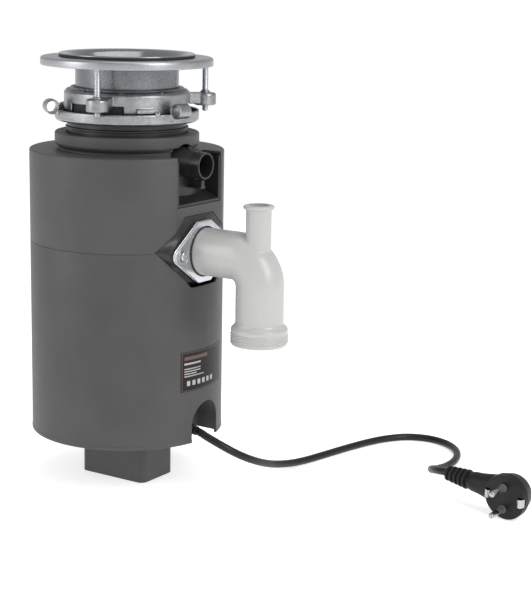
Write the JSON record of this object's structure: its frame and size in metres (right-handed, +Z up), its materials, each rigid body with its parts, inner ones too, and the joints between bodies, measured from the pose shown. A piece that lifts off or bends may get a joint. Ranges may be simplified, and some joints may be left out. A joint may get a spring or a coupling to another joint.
{
  "type": "kitchen garbage disposal",
  "caption": "Under-sink food waste disposal with a bolted sink mount and lock ring, grinding chamber, motor, discharge elbow with hose nipple, cord and plug.",
  "frame": {"origin": "centre of the pedestal's foot, on the floor, under the body's axis", "axes": "+Z up along the body's axis, +X towards the waste outlet and the dishwasher inlet"},
  "size_m": [0.4292, 0.3199, 0.366],
  "materials": {
    "body_plastic": "satin, fine moulded texture",
    "black_plastic": "satin",
    "flange_steel": "polished",
    "mount_alloy": "cast, satin",
    "zinc_steel": "zinc plated",
    "rubber_black": "matte",
    "pipe_plastic": "satin",
    "cast_housing": "as cast",
    "grind_steel": "stainless",
    "bearing_steel": "ground",
    "motor_can": "satin",
    "ferrite": "matte",
    "laminations": "oiled",
    "copper": "enamelled",
    "carbon": "matte",
    "foam": "open foam",
    "circuit_board": "lacquered",
    "button_red": "gloss",
    "terminal_cream": "matte",
    "cord_black": "satin",
    "plug_black": "satin",
    "pin_nickel": "nickel",
    "label_black": "printed film"
  },
  "bodies": {
    "housing": {"sink_flange": "flange_steel", "sink_gasket": "rubber_black", "mounting_ring": "mount_alloy", "snap_ring": "zinc_steel", "mount_gasket": "rubber_black", "splash_guard": "rubber_black", "upper_cover": "body_plastic", "lower_shell": "body_plastic", "bottom_cover": "body_plastic", "base_screws": "zinc_steel", "sound_insulation": "foam", "container": "black_plastic", "shredder_ring": "grind_steel", "container_seal": "rubber_black", "container_bolts": "zinc_steel", "drain_housing": "cast_housing", "shaft_seal": "rubber_black", "outlet_boot": "black_plastic", "outlet_gasket": "rubber_black", "outlet_plate": "zinc_steel", "outlet_screws": "zinc_steel", "stator_can": "motor_can", "magnets": "ferrite", "upper_bearing_outer": "bearing_steel", "lower_bearing_outer": "bearing_steel", "brush_holders": "black_plastic", "carbon_brushes": "carbon", "brush_springs": "bearing_steel", "motor_end_cap": "cast_housing", "through_bolts": "zinc_steel", "rectifier_board": "circuit_board", "overload_protector": "black_plastic", "terminal_block": "terminal_cream", "cord_strain_relief": "rubber_black", "power_cord": "cord_black", "plug_body": "plug_black", "plug_pins": "pin_nickel", "plug_earth_clips": "pin_nickel", "rating_label": "label_black"},
    "backing_flange": {"backing_flange": "mount_alloy"},
    "clamp_screws": {"mount_screws": "zinc_steel"},
    "lock_ring": {"lock_ring": "mount_alloy"},
    "elbow": {"discharge_elbow": "pipe_plastic"},
    "rotor": {"shaft": "bearing_steel", "rotor_core": "laminations", "armature_winding": "copper", "commutator": "copper", "upper_bearing_inner": "bearing_steel", "lower_bearing_inner": "bearing_steel", "turntable": "grind_steel", "turntable_nut": "grind_steel", "impeller_rivets": "grind_steel"},
    "impeller_a": {"impeller_a": "grind_steel"},
    "impeller_b": {"impeller_b": "grind_steel"},
    "upper_balls": {"upper_bearing_balls": "bearing_steel"},
    "lower_balls": {"lower_bearing_balls": "bearing_steel"},
    "reset_button": {"reset_button": "button_red"}
  },
  "joints": [
    {"name": "rotor_spin", "type": "hinge", "parent": "housing", "child": "rotor", "pos_m": [0, 0, 0.2], "axis": [0, 0, 1], "continuous": true},
    {"name": "upper_balls_orbit", "type": "hinge", "parent": "housing", "child": "upper_balls", "pos_m": [0, 0, 0.176], "axis": [0, 0, 1], "continuous": true},
    {"name": "lower_balls_orbit", "type": "hinge", "parent": "housing", "child": "lower_balls", "pos_m": [0, 0, 0.066], "axis": [0, 0, 1], "continuous": true},
    {"name": "impeller_a_swivel", "type": "hinge", "parent": "rotor", "child": "impeller_a", "pos_m": [0.038, 0, 0.245], "axis": [0, 0, 1], "continuous": true},
    {"name": "impeller_b_swivel", "type": "hinge", "parent": "rotor", "child": "impeller_b", "pos_m": [-0.038, 0, 0.245], "axis": [0, 0, 1], "continuous": true},
    {"name": "lock_ring_turn", "type": "hinge", "parent": "housing", "child": "lock_ring", "pos_m": [0, 0, 0.3134], "axis": [0, 0, 1], "range_deg": [0, 30]},
    {"name": "backing_flange_lift", "type": "slide", "parent": "housing", "child": "backing_flange", "axis": [0, 0, 1], "range_m": [-0.012, 0]},
    {"name": "clamp_screw_travel", "type": "slide", "parent": "housing", "child": "clamp_screws", "axis": [0, 0, 1], "range_m": [-0.012, 0]},
    {"name": "elbow_swivel", "type": "hinge", "parent": "housing", "child": "elbow", "pos_m": [0.08, 0, 0.2063], "axis": [1, 0, 0], "range_deg": [-90, 90]},
    {"name": "reset_button_press", "type": "slide", "parent": "housing", "child": "reset_button", "axis": [0, 0, 1], "range_m": [0, 0.003], "stiffness_N_per_m": 300, "springref_m": -0.002}
  ],
  "couplings": [
    {"joint": "upper_balls_orbit", "follows": "rotor_spin", "ratio": 0.385},
    {"joint": "lower_balls_orbit", "follows": "rotor_spin", "ratio": 0.385},
    {"joint": "clamp_screw_travel", "follows": "backing_flange_lift", "ratio": 1}
  ]
}
